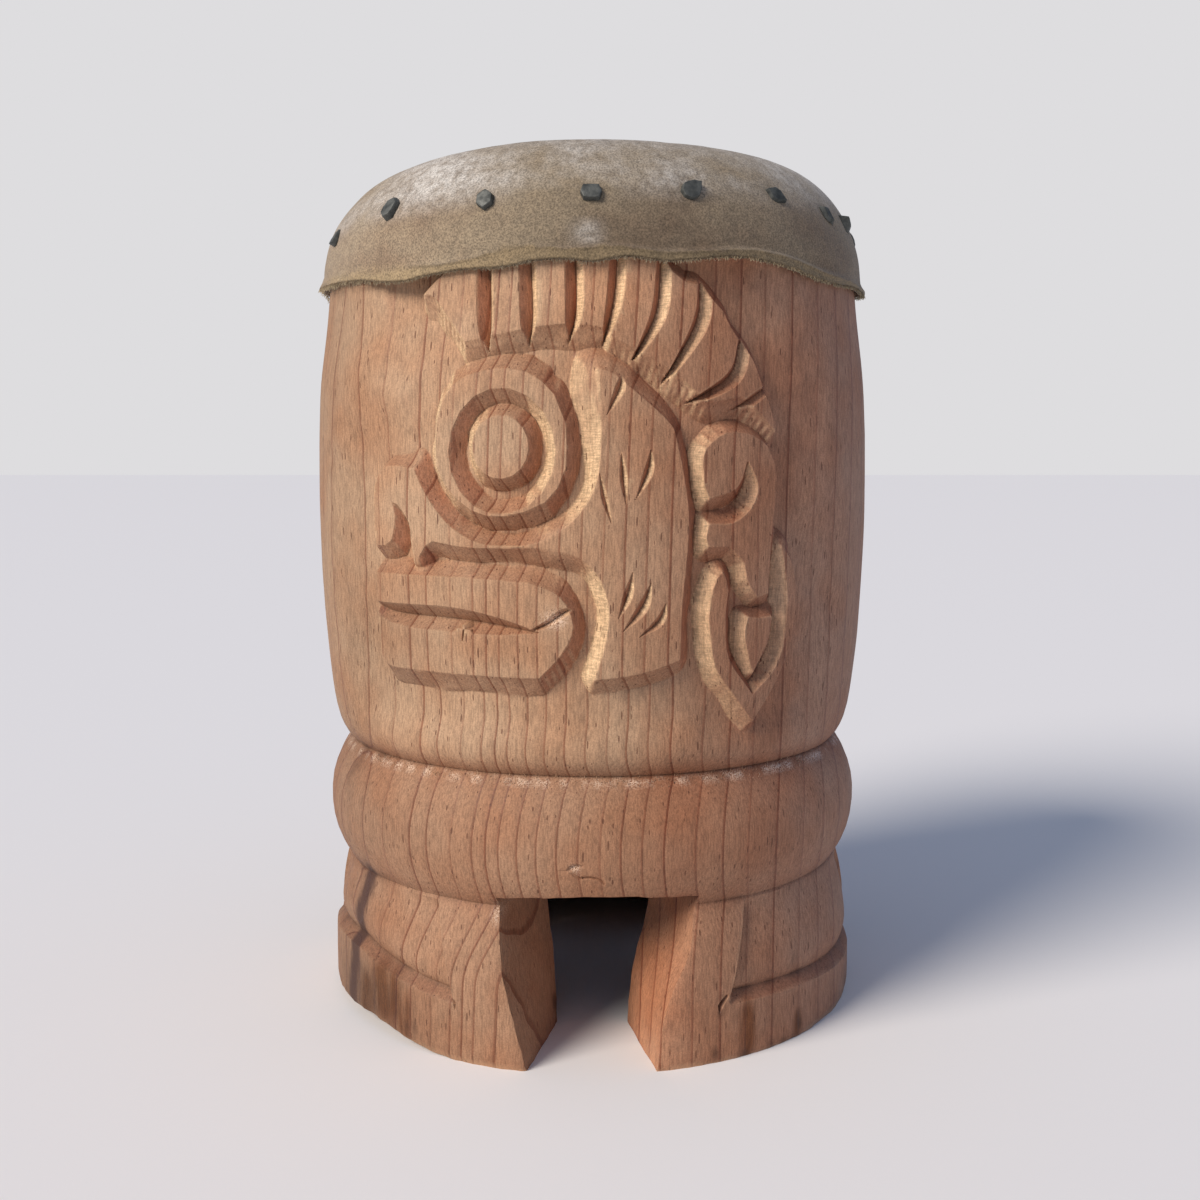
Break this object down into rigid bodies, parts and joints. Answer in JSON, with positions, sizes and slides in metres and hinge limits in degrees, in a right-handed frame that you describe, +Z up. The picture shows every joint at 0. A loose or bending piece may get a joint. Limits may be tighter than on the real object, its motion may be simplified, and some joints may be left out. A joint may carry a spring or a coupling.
{
  "type": "ceremonial drum",
  "caption": "Small upright ritual drum: a hollowed pine log on carved legs, with an animal head glyph cut into its front and a rawhide head tacked over its rim.",
  "frame": {"origin": "on the floor under the drum's own axis", "axes": "+Z up along the drum's axis, -Y out of the carved front, +X to the viewer's right"},
  "size_m": [0.2772, 0.2772, 0.4061],
  "materials": {
    "pine": "knife-carved pine with open growth rings, oiled thinly and left matte",
    "rawhide": "dried rawhide, grey-brown, suede-like, with a hairy trimmed edge",
    "tack_steel": "blackened forged steel with uneven facets"
  },
  "bodies": {
    "root": {"drum_shell": "pine", "drum_head": "rawhide", "tack_01": "tack_steel", "tack_02": "tack_steel", "tack_03": "tack_steel", "tack_04": "tack_steel", "tack_05": "tack_steel", "tack_06": "tack_steel", "tack_07": "tack_steel", "tack_08": "tack_steel", "tack_09": "tack_steel", "tack_10": "tack_steel", "tack_11": "tack_steel", "tack_12": "tack_steel", "tack_13": "tack_steel", "tack_14": "tack_steel", "tack_15": "tack_steel", "tack_16": "tack_steel", "tack_17": "tack_steel", "tack_18": "tack_steel"}
  },
  "joints": []
}
